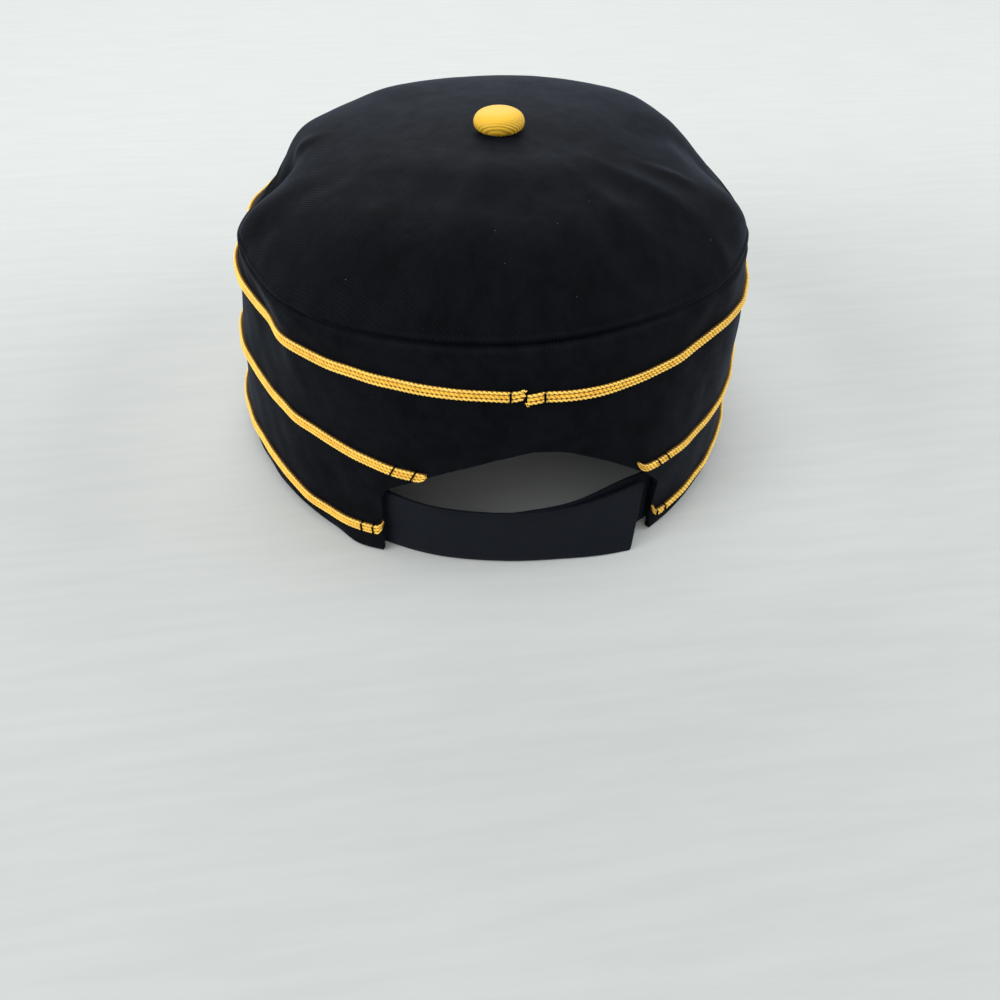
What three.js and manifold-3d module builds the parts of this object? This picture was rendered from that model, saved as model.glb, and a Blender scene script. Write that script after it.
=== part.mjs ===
// A pillbox baseball cap standing on a table, in millimetres with +Z up.
// The wearer faces -Y, so the peak points to -Y, the strap is at +Y and the wearer's left is +X.
// The origin is the middle of the cap's footprint, on the table. Inside this file the crown's
// centre line is at x = y = 0, turns are degrees from the back towards the wearer's left, and
// reach is the distance from the centre line.
import * as THREE from 'three';
import { mergeVertices } from 'three/addons/utils/BufferGeometryUtils.js';
import Module from 'manifold-3d';

const wasm = await Module();
wasm.setup();

// Driving sizes
const clothThickness = 2;
const pieceGap = 0.35;
const seamGapRows = 0.01;
const braidWidth = 3.8;
const braidThickness = 1.4;
const buttonDiameter = 17;
const buttonHeight = 6.6;
const strapWidth = 23.6;
const strapThickness = 1.5;
const tabLift = 1.4;
const peakThickness = 3.2;

// Fineness of the faceted bodies
const turnSteps = 64;
const stepsPerRow = 2;
const strapSteps = 26;
const peakSteps = 40;
const peakRings = 5;
const openingDepth = 120;
const buttonSides = 24;
const buttonRings = 6;

// Rows of the crown from the rim up to the top panel, each at sixteen even turns that start at the
// back and go round by way of the wearer's left.
const crownRows = [
  {
    name: 'rim',
    reach: [97.6, 97.6, 98, 98.9, 102.3, 100.7, 100.2, 98.2, 98, 96.2, 96, 93.4, 92.3, 91.7, 93.1, 96.6],
    height: [0.9, 0.5, 1, 3.6, 4.5, 6.8, 9, 10.9, 12, 10.9, 9, 7.6, 6, 3.9, 2.4, 0.6],
  },
  {
    name: 'low',
    reach: [97.7, 96.5, 97.5, 98, 102.1, 100, 99.3, 97.5, 97.4, 95.5, 95, 92.2, 91.2, 90.8, 93.2, 95.7],
    height: [10.1, 9.9, 7.9, 11.3, 12.8, 14.9, 17, 19.5, 21, 19.5, 17, 14.9, 13.1, 11.4, 9.9, 9.7],
  },
  {
    name: 'middle',
    reach: [97.4, 95.2, 93.2, 93.4, 95.7, 96, 97.2, 96.1, 96.4, 94.3, 93.5, 90.4, 89.4, 89.9, 92.2, 96.8],
    height: [37.4, 37.2, 38.3, 39.9, 43.8, 45.3, 47, 49, 50, 48.6, 46, 43.1, 40.1, 36.9, 33.2, 35.1],
  },
  {
    name: 'high',
    reach: [92, 90.9, 90.8, 89.4, 91.9, 91.9, 94.8, 94.4, 95, 93, 92.2, 89.3, 88.2, 90, 90.4, 90.3],
    height: [69, 69, 68.5, 70.2, 74.9, 76.2, 78, 79.9, 81, 80.2, 78.1, 74.4, 70.4, 68.5, 69.3, 67.4],
  },
  {
    name: 'seam',
    reach: [86.9, 87.5, 90.1, 89.8, 89.4, 86.8, 90.7, 90, 90, 89.3, 89.2, 84.8, 85.4, 84.5, 87.4, 86.5],
    height: [83.3, 82.5, 82.1, 81.3, 81.8, 83.4, 87.7, 91, 92.6, 92.4, 90.2, 84.8, 83.1, 82.6, 82.9, 83.5],
  },
  {
    name: 'shoulder',
    reach: [68, 68.4, 70.4, 70.5, 71.7, 73.4, 75.5, 74.9, 74.9, 74.5, 75, 71, 68.7, 69.4, 70.9, 68.9],
    height: [100, 99.7, 99, 97.2, 96.2, 98.7, 100.5, 102.3, 102.4, 102.9, 102.1, 100.7, 97.1, 98, 99, 99.6],
  },
  {
    name: 'upper',
    reach: [40, 39.7, 40.2, 40.4, 41.2, 41.3, 41.9, 41.6, 42, 41.8, 42.1, 40.7, 39.8, 39.4, 39.9, 39.6],
    height: [108, 107.6, 107, 106.4, 106, 106.4, 107, 107.3, 107.5, 107.6, 107.7, 107.8, 107.3, 107, 107, 107.5],
  },
];
const crownTopHeight = 109;

// Bulges and dents of the soft cloth: row is a place on crownRows, push is outwards, and the
// spreads are half widths in degrees of turn and in rows.
const folds = [
  { name: 'back left corner',    turn: 54,  row: 3.1, push: 1.5,  turnSpread: 7,  rowSpread: 0.9 },
  { name: 'back bulge',          turn: -9,  row: 3,   push: 2,    turnSpread: 9,  rowSpread: 0.7 },
  { name: 'back right hollow',   turn: -39, row: 3,   push: -1.7, turnSpread: 9,  rowSpread: 0.8 },
  { name: 'left panel dent',     turn: 102, row: 4.6, push: -4.1, turnSpread: 10, rowSpread: 0.5 },
  { name: 'left panel bump',     turn: 124, row: 4.4, push: 2.6,  turnSpread: 8,  rowSpread: 0.5 },
  { name: 'right panel bulge',   turn: -60, row: 4.5, push: 2.7,  turnSpread: 14, rowSpread: 0.5 },
  { name: 'right panel dent',    turn: -92, row: 4.6, push: -2.7, turnSpread: 9,  rowSpread: 0.5 },
];

// The opening over the strap as seen from behind, across towards the wearer's left.
const openingEdge = [
  { across: -45,  height: -20 },
  { across: -45,  height: 22 },
  { across: -36,  height: 33 },
  { across: -17,  height: 46 },
  { across: -2,   height: 50.5 },
  { across: 23,   height: 43 },
  { across: 47,   height: 27.5 },
  { across: 50,   height: 22 },
  { across: 50,   height: -20 },
];

// Braids lie on these rows, from one end's turn round the front to the other end's.
const braids = [
  { name: 'braid_top',    row: 'high',   from: 2.2,  to: 361.6 },
  { name: 'braid_middle', row: 'middle', from: 21,   to: 339.5 },
  { name: 'braid_bottom', row: 'low',    from: 31,   to: 332.2 },
];

// The strap is sewn inside the left of the opening and its free end stands out at the right.
const strapRun = [
  { bottomTurn: 46,  bottomReach: 94.8,  topTurn: 46,  topReach: 92 },
  { bottomTurn: 32,  bottomReach: 94.8,  topTurn: 32,  topReach: 93 },
  { bottomTurn: 20,  bottomReach: 95.3,  topTurn: 20,  topReach: 95.3 },
  { bottomTurn: 6,   bottomReach: 95.5,  topTurn: 5,   topReach: 96 },
  { bottomTurn: -6,  bottomReach: 97,    topTurn: -8,  topReach: 96 },
  { bottomTurn: -14, bottomReach: 99.5,  topTurn: -18, topReach: 94.5 },
  { bottomTurn: -20, bottomReach: 101.5, topTurn: -25, topReach: 93.5 },
];

// The fastening tab is sewn inside the right of the opening and lies under the strap.
const tabRun = [
  { bottomTurn: -44, bottomReach: 90,   topTurn: -44, topReach: 89.4 },
  { bottomTurn: -30, bottomReach: 91.8, topTurn: -30, topReach: 91.4 },
  { bottomTurn: -20, bottomReach: 93,   topTurn: -20, topReach: 91.4 },
  { bottomTurn: -8,  bottomReach: 93.8, topTurn: -8,  topReach: 93 },
  { bottomTurn: 12,  bottomReach: 93,   topTurn: 12,  topReach: 93 },
];

// Outer edge of the peak: turn away from the front, how far past the rim, and height of its top.
const peakEdge = [
  { away: 0,  beyond: 66,  height: 17 },
  { away: 18, beyond: 62,  height: 15 },
  { away: 36, beyond: 48,  height: 9 },
  { away: 52, beyond: 27,  height: 3.7 },
  { away: 66, beyond: 10,  height: 3.7 },
  { away: 80, beyond: 1.5, height: 4.6 },
];

const degrees = THREE.MathUtils.degToRad;
const rowNumber = (name) => crownRows.findIndex((row) => row.name === name);
const atTurn = (turn, reach, height) =>
  new THREE.Vector3(reach * Math.sin(degrees(turn)), reach * Math.cos(degrees(turn)), height);

// Joins rings of points into one closed body. A loop joins the last ring to the first, and
// otherwise both ends are capped.
function loft(rings, loop = false) {
  const corners = [];
  const count = rings[0].length;
  const spans = loop ? rings.length : rings.length - 1;
  for (let i = 0; i < spans; i++) {
    const near = rings[i];
    const far = rings[(i + 1) % rings.length];
    for (let j = 0; j < count; j++) {
      const k = (j + 1) % count;
      corners.push(near[j], near[k], far[j]);
      corners.push(near[k], far[k], far[j]);
    }
  }
  if (!loop) {
    const first = rings[0];
    const end = rings.at(-1);
    for (let j = 1; j < count - 1; j++) {
      corners.push(first[0], first[j + 1], first[j]);
      corners.push(end[0], end[j], end[j + 1]);
    }
  }
  return welded(new THREE.BufferGeometry().setFromPoints(corners));
}

// Merges shared corners, drops triangles without area and turns the faces outwards.
function welded(geometry) {
  geometry.deleteAttribute('normal');
  geometry.deleteAttribute('uv');
  const merged = mergeVertices(geometry, 1e-3);
  const index = merged.index.array;
  const triangles = [];
  for (let i = 0; i < index.length; i += 3) {
    const [a, b, c] = index.slice(i, i + 3);
    if (a !== b && b !== c && c !== a) triangles.push([a, b, c]);
  }
  const inward = signedVolume(merged, triangles) < 0;
  return merged.setIndex(triangles.flatMap(([a, b, c]) => (inward ? [a, c, b] : [a, b, c])));
}

function signedVolume(geometry, triangles) {
  const corner = (i) => new THREE.Vector3().fromBufferAttribute(geometry.attributes.position, i);
  return triangles.reduce((sum, [a, b, c]) => sum + corner(a).dot(corner(b).cross(corner(c))) / 6, 0);
}

function solid(geometry) {
  return new wasm.Manifold(new wasm.Mesh({
    numProp: 3,
    vertProperties: new Float32Array(geometry.attributes.position.array),
    triVerts: new Uint32Array(geometry.index.array),
  }));
}

function cutAway(geometry, cutter) {
  const { vertProperties, triVerts } = solid(geometry).subtract(solid(cutter)).getMesh();
  const rest = new THREE.BufferGeometry();
  rest.setAttribute('position', new THREE.BufferAttribute(new Float32Array(vertProperties), 3));
  return rest.setIndex(Array.from(triVerts));
}

// The crown's surface: a closed curve for each row, and at any turn a curve up through the rows.
// That curve goes on over the middle of the top panel to the far side, so the middle is smooth.
const rowCurves = crownRows.map(({ reach, height }) => {
  const points = reach.map((r, i) => atTurn((360 * i) / reach.length, r, height[i]));
  return new THREE.CatmullRomCurve3(points, true, 'centripetal');
});

function smoothPoint(turn, row) {
  const share = THREE.MathUtils.euclideanModulo(turn / 360, 1);
  const points = rowCurves.map((curve) => curve.getPoint(share));
  points.push(new THREE.Vector3(0, 0, crownTopHeight));
  points.push(rowCurves.at(-1).getPoint((share + 0.5) % 1));
  return new THREE.CatmullRomCurve3(points, false, 'centripetal').getPoint(row / (points.length - 1));
}

function outwards(turn, row, at) {
  const highest = rowCurves.length - 0.1;
  if (row > highest) return new THREE.Vector3(0, 0, 1);
  const along = at(turn + 1, row).sub(at(turn - 1, row));
  const up = at(turn, row + 0.05).sub(at(turn, Math.max(row - 0.05, 0)));
  return up.cross(along).normalize();
}

function clothPoint(turn, row) {
  const point = smoothPoint(turn, row);
  for (const fold of folds) {
    const away = THREE.MathUtils.euclideanModulo(turn - fold.turn + 180, 360) - 180;
    const share = Math.exp(-((away / fold.turnSpread) ** 2) - ((row - fold.row) / fold.rowSpread) ** 2);
    if (share > 0.01) point.addScaledVector(outwards(turn, row, smoothPoint), fold.push * share);
  }
  return point;
}

// A wall of cloth all the way round, between two places on the rows.
function clothWall(fromRow, toRow) {
  const steps = Math.ceil((toRow - fromRow) * stepsPerRow);
  const rings = [];
  for (let i = 0; i < turnSteps; i++) {
    const turn = (360 * i) / turnSteps;
    const outer = [];
    const inner = [];
    for (let j = 0; j <= steps; j++) {
      const row = THREE.MathUtils.lerp(fromRow, toRow, j / steps);
      const point = clothPoint(turn, row);
      const normal = outwards(turn, row, clothPoint);
      outer.push(point);
      inner.unshift(point.clone().addScaledVector(normal, -clothThickness));
    }
    rings.push([...outer, ...inner]);
  }
  return loft(rings, true);
}

function openingCutter() {
  const corners = openingEdge.map(({ across, height }) => new THREE.Vector2(across, height));
  const shape = new THREE.Shape([corners[0]]);
  shape.lineTo(corners[1].x, corners[1].y);
  shape.splineThru(corners.slice(2, -1));
  shape.lineTo(corners.at(-1).x, corners.at(-1).y);
  const options = { depth: openingDepth, bevelEnabled: false, curveSegments: 3 };
  const prism = new THREE.ExtrudeGeometry(shape, options);
  return welded(prism.rotateX(Math.PI / 2).translate(0, openingDepth, 0));
}

function sideBand() {
  return cutAway(clothWall(0, rowNumber('seam') - seamGapRows), openingCutter());
}

function crownTop() {
  return clothWall(rowNumber('seam') + seamGapRows, rowCurves.length);
}

// A flat cord with rounded edges that lies on the cloth along one row.
function braid({ row, from, to }) {
  const level = rowNumber(row);
  const steps = Math.round(((to - from) / 360) * turnSteps);
  const section = [[-0.5, 0.25], [-0.5, 0.75], [-0.3, 1], [0.3, 1], [0.5, 0.75], [0.5, 0.25], [0.3, 0], [-0.3, 0]];
  const rings = [];
  for (let i = 0; i <= steps; i++) {
    const turn = THREE.MathUtils.lerp(from, to, i / steps);
    const centre = clothPoint(turn, level);
    const normal = outwards(turn, level, clothPoint);
    const along = clothPoint(turn + 1, level).sub(clothPoint(turn - 1, level)).normalize();
    const up = along.clone().cross(normal);
    rings.push(section.map(([across, out]) => centre.clone()
      .addScaledVector(up, across * braidWidth)
      .addScaledVector(normal, pieceGap + out * braidThickness)));
  }
  return loft(rings);
}

// A domed button with its underside just clear of the top panel.
function button() {
  const radius = buttonDiameter / 2;
  const domeStart = 0.25;
  const profile = [new THREE.Vector2(0, 0), new THREE.Vector2(radius * 0.9, 0)];
  for (let i = 0; i <= buttonRings; i++) {
    const lift = (Math.PI / 2) * (i / buttonRings);
    const rise = domeStart + (1 - domeStart) * Math.sin(lift);
    profile.push(new THREE.Vector2(radius * Math.cos(lift), buttonHeight * rise));
  }
  profile.at(-1).x = 0;
  return welded(new THREE.LatheGeometry(profile, buttonSides).rotateX(Math.PI / 2));
}

// Webbing stood on edge, through stations of its outer face's bottom and top edges.
function webbing(run, bottomHeight) {
  const edge = (turn, reach, height) =>
    new THREE.CatmullRomCurve3(run.map((station) => atTurn(station[turn], station[reach], height)));
  const bottom = edge('bottomTurn', 'bottomReach', bottomHeight);
  const top = edge('topTurn', 'topReach', bottomHeight + strapWidth);
  const rings = [];
  for (let i = 0; i <= strapSteps; i++) {
    const low = bottom.getPoint(i / strapSteps);
    const high = top.getPoint(i / strapSteps);
    const inward = (point) => new THREE.Vector3(-point.x, -point.y, 0).setLength(strapThickness);
    rings.push([low, high, high.clone().add(inward(high)), low.clone().add(inward(low))]);
  }
  return loft(rings);
}

// A stiff crescent under the front of the rim, arched so that only its sides touch the table.
function peak() {
  const edgePoints = [...peakEdge.slice(1).reverse().map((row) => ({ ...row, away: -row.away })), ...peakEdge];
  const edgeCurve = new THREE.CatmullRomCurve3(edgePoints.map(({ away, beyond, height }) =>
    new THREE.Vector3(away, beyond, height)));
  const rings = [];
  for (let i = 0; i <= peakSteps; i++) {
    const edge = edgeCurve.getPoint(i / peakSteps);
    const turn = 180 + edge.x;
    const rim = clothPoint(turn, 0);
    const inside = rim.clone().addScaledVector(outwards(turn, 0, clothPoint), -clothThickness);
    const rimReach = Math.hypot(rim.x, rim.y);
    const rootHeight = Math.min(rim.z, inside.z) - pieceGap;
    const top = [];
    for (let j = 0; j <= peakRings; j++) {
      const share = j / peakRings;
      const reach = THREE.MathUtils.lerp(rimReach - clothThickness, rimReach + edge.y, share);
      const height = THREE.MathUtils.lerp(rootHeight, edge.z, share);
      top.push(atTurn(turn, reach, height));
    }
    const bottom = top.map((point) => point.clone().setZ(point.z - peakThickness)).reverse();
    rings.push([...top, ...bottom]);
  }
  return loft(rings);
}

function piece(name, geometry, colour, roughness) {
  const material = new THREE.MeshStandardMaterial({ color: colour, roughness, metalness: 0 });
  const mesh = new THREE.Mesh(geometry, material);
  mesh.name = name;
  return mesh;
}

const cloth = (name, geometry) => piece(name, geometry, '#16171b', 0.9);
const goldCord = (name, geometry) => piece(name, geometry, '#d39a22', 0.6);
const goldSatin = (name, geometry) => piece(name, geometry, '#e9b93c', 0.45);
const blackWebbing = (name, geometry) => piece(name, geometry, '#14161b', 0.8);

const cap = new THREE.Group();
cap.add(cloth('side_band', sideBand()));
cap.add(cloth('crown_top', crownTop()));
cap.add(cloth('peak', peak()));
for (const row of braids) cap.add(goldCord(row.name, braid(row)));
cap.add(blackWebbing('strap', webbing(strapRun, 0)));
cap.add(blackWebbing('strap_tab', webbing(tabRun, tabLift)));

const topButton = goldSatin('top_button', button());
topButton.position.z = crownTopHeight + pieceGap;
cap.add(topButton);

// Puts the middle of the footprint at the origin. The table is at height 0 already.
const footprint = new THREE.Box3().setFromObject(cap, true).getCenter(new THREE.Vector3());
cap.position.set(-footprint.x, -footprint.y, 0);

export default cap;
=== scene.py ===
import math
import bpy
import bmesh
import numpy as np
from mathutils import Matrix, Vector


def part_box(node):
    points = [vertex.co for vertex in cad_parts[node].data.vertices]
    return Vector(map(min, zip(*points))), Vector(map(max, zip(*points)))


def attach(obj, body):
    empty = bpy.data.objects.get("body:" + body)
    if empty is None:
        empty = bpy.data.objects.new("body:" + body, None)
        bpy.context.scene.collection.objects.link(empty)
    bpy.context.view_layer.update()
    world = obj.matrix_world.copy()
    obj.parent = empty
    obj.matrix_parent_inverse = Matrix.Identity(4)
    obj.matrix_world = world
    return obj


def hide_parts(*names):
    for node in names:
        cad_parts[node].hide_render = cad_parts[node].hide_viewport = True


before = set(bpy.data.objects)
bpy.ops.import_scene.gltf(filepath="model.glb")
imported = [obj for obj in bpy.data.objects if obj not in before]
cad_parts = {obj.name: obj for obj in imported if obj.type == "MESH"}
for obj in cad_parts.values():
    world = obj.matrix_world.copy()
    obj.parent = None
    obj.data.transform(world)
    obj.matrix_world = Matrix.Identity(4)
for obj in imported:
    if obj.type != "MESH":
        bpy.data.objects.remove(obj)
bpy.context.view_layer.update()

mm = 0.001
perMetre = 1000  # millimetres in a metre
wholeTurn = 2 * math.pi

# Each row goes round the crown from the back towards the wearer's left, in millimetres.
crown = {
    "reach": [
        [97.6, 97.6, 98, 98.9, 102.3, 100.7, 100.2, 98.2, 98, 96.2, 96, 93.4, 92.3, 91.7, 93.1, 96.6],
        [97.7, 96.5, 97.5, 98, 102.1, 100, 99.3, 97.5, 97.4, 95.5, 95, 92.2, 91.2, 90.8, 93.2, 95.7],
        [97.4, 95.2, 93.2, 93.4, 95.7, 96, 97.2, 96.1, 96.4, 94.3, 93.5, 90.4, 89.4, 89.9, 92.2, 96.8],
        [92, 90.9, 90.8, 89.4, 91.9, 91.9, 94.8, 94.4, 95, 93, 92.2, 89.3, 88.2, 90, 90.4, 90.3],
        [86.9, 87.5, 90.1, 89.8, 89.4, 86.8, 90.7, 90, 90, 89.3, 89.2, 84.8, 85.4, 84.5, 87.4, 86.5],
        [68, 68.4, 70.4, 70.5, 71.7, 73.4, 75.5, 74.9, 74.9, 74.5, 75, 71, 68.7, 69.4, 70.9, 68.9],
        [40, 39.7, 40.2, 40.4, 41.2, 41.3, 41.9, 41.6, 42, 41.8, 42.1, 40.7, 39.8, 39.4, 39.9, 39.6],
    ],
    "height": [
        [0.9, 0.5, 1, 3.6, 4.5, 6.8, 9, 10.9, 12, 10.9, 9, 7.6, 6, 3.9, 2.4, 0.6],
        [10.1, 9.9, 7.9, 11.3, 12.8, 14.9, 17, 19.5, 21, 19.5, 17, 14.9, 13.1, 11.4, 9.9, 9.7],
        [37.4, 37.2, 38.3, 39.9, 43.8, 45.3, 47, 49, 50, 48.6, 46, 43.1, 40.1, 36.9, 33.2, 35.1],
        [69, 69, 68.5, 70.2, 74.9, 76.2, 78, 79.9, 81, 80.2, 78.1, 74.4, 70.4, 68.5, 69.3, 67.4],
        [83.3, 82.5, 82.1, 81.3, 81.8, 83.4, 87.7, 91, 92.6, 92.4, 90.2, 84.8, 83.1, 82.6, 82.9, 83.5],
        [100, 99.7, 99, 97.2, 96.2, 98.7, 100.5, 102.3, 102.4, 102.9, 102.1, 100.7, 97.1, 98, 99, 99.6],
        [108, 107.6, 107, 106.4, 106, 106.4, 107, 107.3, 107.5, 107.6, 107.7, 107.8, 107.3, 107, 107, 107.5],
    ],
    "top": 109,
    "thickness": 1.9,
    # where a fold lies, turn then row, how far it stands out, and how wide it is both ways
    "folds": [
        (54, 3.1, 1.5, 5, 0.9), (-9, 3, 2, 9, 0.7), (-39, 3, -1.7, 9, 0.8), (102, 4.6, -4.1, 10, 0.5),
        (124, 4.4, 2.6, 8, 0.5), (-60, 4.5, 2.7, 14, 0.5), (-92, 4.6, -2.7, 9, 0.5),
    ],
}
corners = len(crown["reach"][0])
cornerTurn = 360 / corners
seamRow, centreRow = 4, 7  # rows are counted from the rim, 0, up to the middle of the top
buttonLow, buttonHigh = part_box("top_button")
crownMiddle = np.array([(buttonLow.x + buttonHigh.x) / 2, (buttonLow.y + buttonHigh.y) / 2, 0.0])


def atTurn(turn, reach, height):
    angle = np.radians(turn)
    return np.stack([reach * np.sin(angle), reach * np.cos(angle), height + 0 * angle], axis=-1)


def unit(vectors):
    return vectors / np.maximum(np.linalg.norm(vectors, axis=-1, keepdims=True), 1e-9)


rowCorners = np.array([
    atTurn(np.arange(corners) * cornerTurn, np.array(reach, float), np.array(height, float))
    for reach, height in zip(crown["reach"], crown["height"])
])


def throughPoints(before, start, end, after, share):
    # a centripetal spline from start to end
    def spacing(a, b):
        return np.sqrt(np.linalg.norm(b - a, axis=-1, keepdims=True)) + 1e-9
    gapA, gapB, gapC = spacing(before, start), spacing(start, end), spacing(end, after)
    leave = gapB * ((start - before) / gapA - (end - before) / (gapA + gapB) + (end - start) / gapB)
    reach = gapB * ((end - start) / gapB - (after - start) / (gapB + gapC) + (after - end) / gapC)
    bend = -3 * start + 3 * end - 2 * leave - reach
    twist = 2 * start - 2 * end + leave + reach
    return start + share * (leave + share * (bend + share * twist))


def alongCurve(points, share):
    # an open spline through all the points
    points = np.array(points, float)
    points = np.concatenate([[2 * points[0] - points[1]], points, [2 * points[-1] - points[-2]]])
    place = np.asarray(share, float) * (len(points) - 3)
    first = np.clip(np.floor(place).astype(int), 0, len(points) - 4)
    return throughPoints(points[first], points[first + 1], points[first + 2], points[first + 3],
                         (place - first)[..., None])


def roundRows(turn):
    # every row at each turn, on a closed curve through the row's corners
    place = np.mod(turn / cornerTurn, corners)
    first = np.floor(place).astype(int) % corners
    share = (place - np.floor(place))[None, :, None]
    before, start, end, after = (rowCorners[:, (first + step) % corners] for step in (-1, 0, 1, 2))
    return throughPoints(before, start, end, after, share)


def smoothPoint(turn, row):
    # the crown without its folds, on a curve that runs up and over the top
    near = roundRows(turn)
    far = roundRows(turn + 180)[-1]
    ghost = 2 * near[0] - near[1]
    centre = np.broadcast_to(np.array([0.0, 0.0, crown["top"]]), far.shape)
    levels = np.concatenate([ghost[None], near, centre[None], far[None]])
    first = np.clip(np.floor(row).astype(int), 0, centreRow - 1)
    each = np.arange(len(turn))
    return throughPoints(levels[first, each], levels[first + 1, each], levels[first + 2, each],
                         levels[first + 3, each], (row - first)[:, None])


def outwards(turn, row, at=smoothPoint):
    along = at(turn + 1, row) - at(turn - 1, row)
    up = at(turn, np.minimum(row + 0.05, centreRow)) - at(turn, np.maximum(row - 0.05, 0))
    normal = unit(np.cross(up, along))
    normal[row > centreRow - 0.1] = (0, 0, 1)
    return normal


def bell(away, width):
    return np.exp(-(away / width) ** 2)


def hump(turn, row, spot):
    spotTurn, spotRow, push, wide, tall = spot
    away = np.mod(turn - spotTurn + 180, 360) - 180
    return push * np.exp(-(away / wide) ** 2 - ((row - spotRow) / tall) ** 2)


def clothPoint(turn, row):
    push = sum(hump(turn, row, fold) for fold in crown["folds"])
    return smoothPoint(turn, row) + outwards(turn, row) * push[:, None]


# Soft waves and creases that lie on the main folds.
softness = {
    "waveHeight": 0.16,
    # size, how many go round, how much they lean, where they start
    "waves": [(1, 7, 2.1, 0), (0.7, 13, -3.3, 1), (0.5, 29, 5.1, 2), (0.4, 41, -9, 0)],
    # as the folds above
    "creases": [
        (22, 5.1, 0.8, 5, 0.75), (-16, 5.1, 0.6, 5, 0.8), (36, 5.2, -0.6, 5, 0.7),
        (7, 5.3, -0.9, 6, 0.7), (-22, 5.0, -0.7, 4, 0.6), (-30, 5.3, 0.9, 4, 0.7),
        (-40, 5.4, -0.5, 4, 0.6), (-49, 5.5, 0.8, 4, 0.5), (12, 6.3, 1.3, 24, 0.2),
        (12, 5.8, -1.0, 24, 0.3), (-32, 6.2, 1.2, 18, 0.2), (-34, 5.75, -0.7, 16, 0.3),
        (52, 6.2, 0.9, 14, 0.2), (52, 5.7, -0.8, 14, 0.3), (-83, 5.35, 0.8, 9, 0.12),
        (-62, 5.4, 0.7, 3, 0.3), (-48.5, 4.4, 0.6, 2.5, 0.3), (109, 5.0, 0.8, 3, 0.3),
        (75, 5.2, -0.5, 7, 0.5), (150, 5.2, 0.5, 7, 0.6), (-130, 5.1, 0.5, 8, 0.6),
        (1.3, 2.5, -0.35, 1.2, 0.7), (14, 3.5, 0.3, 4, 0.4), (-22, 3.5, -0.3, 5, 0.35),
        (36, 2.5, -0.6, 7, 0.5), (75, 2.4, 0.6, 8, 0.5), (-55, 2.2, 0.6, 9, 0.4),
        (-75, 3.4, -0.4, 7, 0.4), (66, 3.5, -0.5, 5, 0.5), (44, 1.4, -0.8, 5, 0.6),
        (-38, 1.5, 0.6, 6, 0.5), (85, 1.5, -0.5, 9, 0.6), (36, 0.1, 2.2, 6, 0.8),
        (82, 4.45, 2.4, 6, 0.5), (104, 4.4, -2.6, 6, 0.5), (-66, 4.35, 2.0, 8, 0.6),
        (-70, 3.0, -1.4, 12, 0.5), (96, 3.1, -2.4, 7, 0.5), (78, 3.0, 1.6, 9, 0.45),
        (84, 2.0, 1.7, 10, 0.4), (106, 3.0, 0.8, 8, 0.4),
    ],
}


def softLift(turn, row):
    angle = np.radians(turn)
    waves = sum(size * np.sin(count * angle + lean * row + start)
                for size, count, lean, start in softness["waves"])
    waves *= np.clip((5.3 - row) / 1.3, 0, 1)  # the waves end on the top panel
    fade = np.clip((centreRow - row) / 1.5, 0, 1)
    creases = sum(hump(turn, row, spot) for spot in softness["creases"])
    return fade * (softness["waveHeight"] * waves + creases)


def clothPlace(turn, row, lift=0.0):
    turn, row = np.broadcast_arrays(np.asarray(turn, float), np.asarray(row, float))
    lift = softLift(turn, row) + lift
    return clothPoint(turn, row) + outwards(turn, row, clothPoint) * lift[:, None]


class ClothLine:
    # a line along the cloth: flat shapes are laid on it by distance along, across and outwards
    def __init__(self, points, normals):
        steps = np.linalg.norm(np.diff(points, axis=0), axis=1)
        self.distance = np.concatenate([[0], np.cumsum(steps)])
        self.length = self.distance[-1]
        self.points = points
        self.normals = normals
        self.along = unit(np.gradient(points, axis=0))

    @classmethod
    def onCloth(cls, turns, rows):
        turns, rows = np.broadcast_arrays(np.asarray(turns, float), np.asarray(rows, float))
        return cls(clothPlace(turns, rows), outwards(turns, rows, clothPoint))

    def lay(self, flat):
        def read(table):
            return np.stack([np.interp(flat[:, 0], self.distance, side) for side in table.T], axis=-1)
        along, normal = unit(read(self.along)), unit(read(self.normals))
        across = unit(np.cross(along, normal))
        past = flat[:, 0] - np.clip(flat[:, 0], 0, self.length)
        return read(self.points) + along * past[:, None] + across * flat[:, 1:2] + normal * flat[:, 2:3]


class Value:
    # a socket in a finish, with maths written as plain expressions
    def __init__(self, finish, socket):
        self.finish = finish
        self.socket = socket

    def maths(self, operation, *others):
        values = dict(enumerate((self,) + others))
        return self.finish.add("ShaderNodeMath", {"operation": operation}, values)

    def __add__(self, other): return self.maths("ADD", other)
    def __mul__(self, other): return self.maths("MULTIPLY", other)
    def __sub__(self, other): return self.maths("SUBTRACT", other)
    def __rsub__(self, other): return (self * -1) + other
    __radd__ = __add__
    __rmul__ = __mul__

    def sine(self): return self.maths("SINE")
    def power(self, other): return self.maths("POWER", other)
    def clamped(self): return self.finish.add("ShaderNodeClamp", {}, {0: self})

    def between(self, low, high):
        # 0 at low, 1 at high, and smooth between
        return self.finish.add("ShaderNodeMapRange", {"interpolation_type": "SMOOTHSTEP"},
                               {"Value": self, "From Min": low, "From Max": high})


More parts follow.
